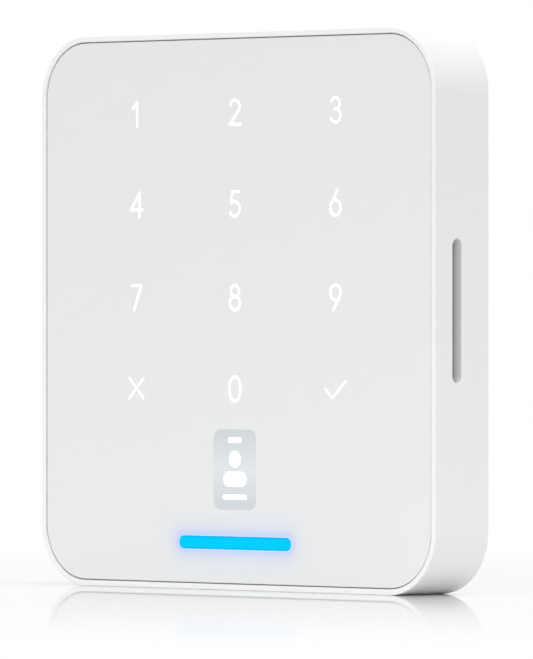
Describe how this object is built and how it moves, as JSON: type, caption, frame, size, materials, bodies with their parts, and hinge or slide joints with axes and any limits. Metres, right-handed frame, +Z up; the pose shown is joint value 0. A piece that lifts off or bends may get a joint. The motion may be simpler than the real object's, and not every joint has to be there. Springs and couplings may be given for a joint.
{
  "type": "keypad access reader",
  "caption": "Slim square wall reader with a flush backlit touch keypad, a light bar and a side sound slot, hung on a screwed wall plate.",
  "frame": {"origin": "on the wall plane at the centre of the reader and of the wall plate's screw patterns", "axes": "+Z up, -Y out of the wall towards the user, +X to the user's right"},
  "size_m": [0.1, 0.0136, 0.1],
  "materials": {
    "housing_white": "fine satin moulding",
    "panel_white": "satin, lightly glossy cover plate",
    "legend_white": "back-lit white ink",
    "mark_grey": "printed grey",
    "light_cyan": "lit diffuser",
    "tape": "adhesive foam",
    "clear_film": "clear sensor film",
    "inner_white": "moulded",
    "led": "moulded LED",
    "copper": "bare copper",
    "board_green": "solder mask",
    "chip_black": "moulded",
    "tinned_steel": "tinned",
    "can_aluminium": "plain",
    "screw_steel": "plated",
    "inner_black": "moulded",
    "brass_disc": "plain",
    "seal_rubber": "matt",
    "mesh_grey": "fine woven mesh",
    "cover_grey": "moulded",
    "terminal_green": "moulded",
    "button_orange": "moulded"
  },
  "bodies": {
    "wall_plate": {"wall_plate": "cover_grey", "threaded_insert": "brass_disc"},
    "reader": {"front_housing": "housing_white", "front_panel": "panel_white", "key_1_legend": "legend_white", "key_2_legend": "legend_white", "key_3_legend": "legend_white", "key_4_legend": "legend_white", "key_5_legend": "legend_white", "key_6_legend": "legend_white", "key_7_legend": "legend_white", "key_8_legend": "legend_white", "key_9_legend": "legend_white", "key_clear_legend": "legend_white", "key_0_legend": "legend_white", "key_enter_legend": "legend_white", "card_mark": "mark_grey", "card_mark_details": "legend_white", "status_light_bar": "light_cyan", "panel_bond_tape": "tape", "touch_sensor_film": "clear_film", "legend_light_baffle": "inner_white", "key_leds": "led", "status_leds": "led", "card_antenna": "copper", "main_board": "board_green", "processor_chip": "chip_black", "card_reader_chip": "chip_black", "radio_chip": "chip_black", "radio_shield_can": "tinned_steel", "power_inductor": "chip_black", "power_capacitors": "can_aluminium", "board_screws": "screw_steel", "sounder_case": "inner_black", "sounder_element": "brass_disc", "sounder_gasket": "seal_rubber", "sound_slot_mesh": "mesh_grey", "rear_cover": "cover_grey", "housing_seal": "seal_rubber", "cover_screws": "screw_steel", "terminal_block": "terminal_green", "reset_switch": "inner_black", "tamper_switch": "inner_black"},
    "screw_carrier": {"screw_washer": "screw_steel"},
    "security_screw": {"security_screw": "screw_steel"},
    "reset_button": {"reset_button": "inner_white"},
    "tamper_plunger": {"tamper_plunger": "inner_white"},
    "terminal_button_1": {"terminal_button_1": "button_orange"},
    "terminal_button_2": {"terminal_button_2": "button_orange"},
    "terminal_button_3": {"terminal_button_3": "button_orange"},
    "terminal_button_4": {"terminal_button_4": "button_orange"}
  },
  "joints": [
    {"name": "reader_lift", "type": "slide", "parent": "wall_plate", "child": "reader", "axis": [0, 0, 1], "range_m": [0, 0.005]},
    {"name": "screw_travel", "type": "slide", "parent": "wall_plate", "child": "screw_carrier", "axis": [0, 0, -1], "range_m": [0, 0.00315]},
    {"name": "screw_turn", "type": "hinge", "parent": "screw_carrier", "child": "security_screw", "pos_m": [0, -0.003, -0.05], "axis": [0, 0, -1], "range_deg": [0, 2520]},
    {"name": "tamper_plunger_slide", "type": "slide", "parent": "reader", "child": "tamper_plunger", "axis": [0, 1, 0], "range_m": [0, 0.001]},
    {"name": "reset_button_press", "type": "slide", "parent": "reader", "child": "reset_button", "axis": [0, -1, 0], "range_m": [0, 0.0004], "stiffness_N_per_m": 3000},
    {"name": "terminal_button_1_press", "type": "slide", "parent": "reader", "child": "terminal_button_1", "axis": [0, -1, 0], "range_m": [0, 0.0007], "stiffness_N_per_m": 3000},
    {"name": "terminal_button_2_press", "type": "slide", "parent": "reader", "child": "terminal_button_2", "axis": [0, -1, 0], "range_m": [0, 0.0007], "stiffness_N_per_m": 3000},
    {"name": "terminal_button_3_press", "type": "slide", "parent": "reader", "child": "terminal_button_3", "axis": [0, -1, 0], "range_m": [0, 0.0007], "stiffness_N_per_m": 3000},
    {"name": "terminal_button_4_press", "type": "slide", "parent": "reader", "child": "terminal_button_4", "axis": [0, -1, 0], "range_m": [0, 0.0007], "stiffness_N_per_m": 3000}
  ],
  "couplings": [
    {"joint": "screw_turn", "follows": "screw_travel", "rad_per_m": 13963},
    {"joint": "tamper_plunger_slide", "follows": "reader_lift", "ratio": 0.2}
  ]
}
